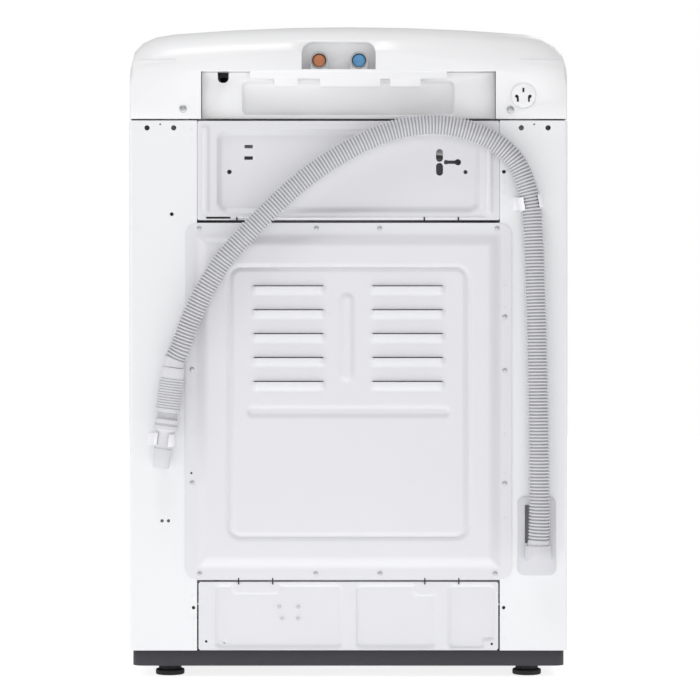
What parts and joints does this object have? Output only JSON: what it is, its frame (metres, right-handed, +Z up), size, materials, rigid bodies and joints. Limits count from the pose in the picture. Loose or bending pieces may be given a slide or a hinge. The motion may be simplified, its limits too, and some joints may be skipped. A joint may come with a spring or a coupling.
{
  "type": "top load washing machine",
  "caption": "Free-standing top-loading washing machine with a rear console, hinged glass lid, sprung tub, spinning basket, pulsator and a drain hose clipped to its back.",
  "frame": {"origin": "on the floor, under the middle of the machine's depth and width", "axes": "+Z up, front towards -Y, back towards +Y, X across"},
  "size_m": [0.632, 0.678, 0.946],
  "materials": {
    "charcoal_plastic": "satin",
    "white_enamel": "gloss",
    "back_sheet": "satin",
    "white_plastic": "satin",
    "grey_plastic": "satin",
    "light_grey_plastic": "satin",
    "dark_glass": "gloss",
    "black_plastic": "matte",
    "orange_plastic": "gloss",
    "blue_plastic": "gloss",
    "zinc": "satin",
    "hose_plastic": "satin",
    "cast_alloy": "satin",
    "copper_winding": "satin",
    "stainless": "brushed",
    "black_rubber": "matte"
  },
  "bodies": {
    "cabinet": {"base_pan": "charcoal_plastic", "cabinet_shell": "white_enamel", "upper_back_panel": "back_sheet", "rear_cover": "back_sheet", "lower_back_panel": "back_sheet", "top_cover": "white_plastic", "recess_panel": "white_plastic", "control_panel": "grey_plastic", "display_window": "dark_glass", "control_board": "black_plastic", "hot_inlet_valve": "white_plastic", "cold_inlet_valve": "white_plastic", "hot_inlet_screen": "orange_plastic", "cold_inlet_screen": "blue_plastic", "plug_holder": "white_plastic", "hose_outlet_housing": "light_grey_plastic", "upper_hose_clip": "white_plastic", "lower_hose_clip": "white_plastic", "dispenser_housing": "white_plastic", "left_hinge_pin": "zinc", "right_hinge_pin": "zinc", "drain_pump": "black_plastic", "drain_hose": "hose_plastic", "hose_end_nozzle": "hose_plastic", "suspension_rod_front_left": "zinc", "suspension_rod_front_right": "zinc", "suspension_rod_rear_left": "zinc", "suspension_rod_rear_right": "zinc"},
    "tub": {"outer_tub": "light_grey_plastic", "tub_cover": "white_plastic", "bearing_housing": "cast_alloy", "stator": "copper_winding", "spring_cup_front_left": "black_plastic", "spring_cup_front_right": "black_plastic", "spring_cup_rear_left": "black_plastic", "spring_cup_rear_right": "black_plastic"},
    "basket": {"wash_basket": "stainless", "balance_ring": "grey_plastic", "basket_hub": "cast_alloy", "lint_filter": "white_plastic"},
    "pulsator": {"pulsator": "grey_plastic", "drive_shaft": "zinc", "rotor": "cast_alloy"},
    "lid": {"lid_frame": "white_plastic", "lid_glass": "dark_glass"},
    "drawer": {"detergent_drawer": "light_grey_plastic"},
    "dial": {"program_dial": "white_plastic"},
    "power_button": {"power_button": "grey_plastic"},
    "start_button": {"start_button": "grey_plastic"},
    "cycle_button": {"cycle_button": "grey_plastic"},
    "rinse_button": {"rinse_button": "grey_plastic"},
    "foot_front_left": {"foot_stem_front_left": "zinc", "foot_pad_front_left": "black_rubber"},
    "foot_front_right": {"foot_stem_front_right": "zinc", "foot_pad_front_right": "black_rubber"},
    "foot_rear_left": {"foot_stem_rear_left": "zinc", "foot_pad_rear_left": "black_rubber"},
    "foot_rear_right": {"foot_stem_rear_right": "zinc", "foot_pad_rear_right": "black_rubber"}
  },
  "joints": [
    {"name": "tub_bounce", "type": "slide", "parent": "cabinet", "child": "tub", "axis": [0, 0, 1], "range_m": [-0.012, 0.012], "stiffness_N_per_m": 10000, "springref_m": 0.0278},
    {"name": "basket_spin", "type": "hinge", "parent": "tub", "child": "basket", "pos_m": [0, -0.022, 0.5], "axis": [0, 0, 1], "continuous": true},
    {"name": "pulsator_spin", "type": "hinge", "parent": "basket", "child": "pulsator", "pos_m": [0, -0.022, 0.33], "axis": [0, 0, 1], "continuous": true},
    {"name": "lid_hinge", "type": "hinge", "parent": "cabinet", "child": "lid", "pos_m": [0, 0.106, 0.886], "axis": [-1, 0, 0], "range_deg": [0, 95]},
    {"name": "drawer_slide", "type": "slide", "parent": "cabinet", "child": "drawer", "axis": [0, -1, 0], "range_m": [0, 0.11]},
    {"name": "dial_turn", "type": "hinge", "parent": "cabinet", "child": "dial", "pos_m": [0, 0.163, 0.915], "axis": [0, -0.4392, 0.8984], "continuous": true},
    {"name": "power_button_press", "type": "slide", "parent": "cabinet", "child": "power_button", "axis": [0, 0.4392, -0.8984], "range_m": [0, 0.0015], "stiffness_N_per_m": 500, "springref_m": -0.002},
    {"name": "start_button_press", "type": "slide", "parent": "cabinet", "child": "start_button", "axis": [0, 0.4392, -0.8984], "range_m": [0, 0.0015], "stiffness_N_per_m": 500, "springref_m": -0.002},
    {"name": "cycle_button_press", "type": "slide", "parent": "cabinet", "child": "cycle_button", "axis": [0, 0.4392, -0.8984], "range_m": [0, 0.0015], "stiffness_N_per_m": 500, "springref_m": -0.002},
    {"name": "rinse_button_press", "type": "slide", "parent": "cabinet", "child": "rinse_button", "axis": [0, 0.4392, -0.8984], "range_m": [0, 0.0015], "stiffness_N_per_m": 500, "springref_m": -0.002},
    {"name": "foot_slide_front_left", "type": "slide", "parent": "cabinet", "child": "foot_front_left", "axis": [0, 0, -1], "range_m": [0, 0.012]},
    {"name": "foot_slide_front_right", "type": "slide", "parent": "cabinet", "child": "foot_front_right", "axis": [0, 0, -1], "range_m": [0, 0.012]},
    {"name": "foot_slide_rear_left", "type": "slide", "parent": "cabinet", "child": "foot_rear_left", "axis": [0, 0, -1], "range_m": [0, 0.012]},
    {"name": "foot_slide_rear_right", "type": "slide", "parent": "cabinet", "child": "foot_rear_right", "axis": [0, 0, -1], "range_m": [0, 0.012]}
  ]
}
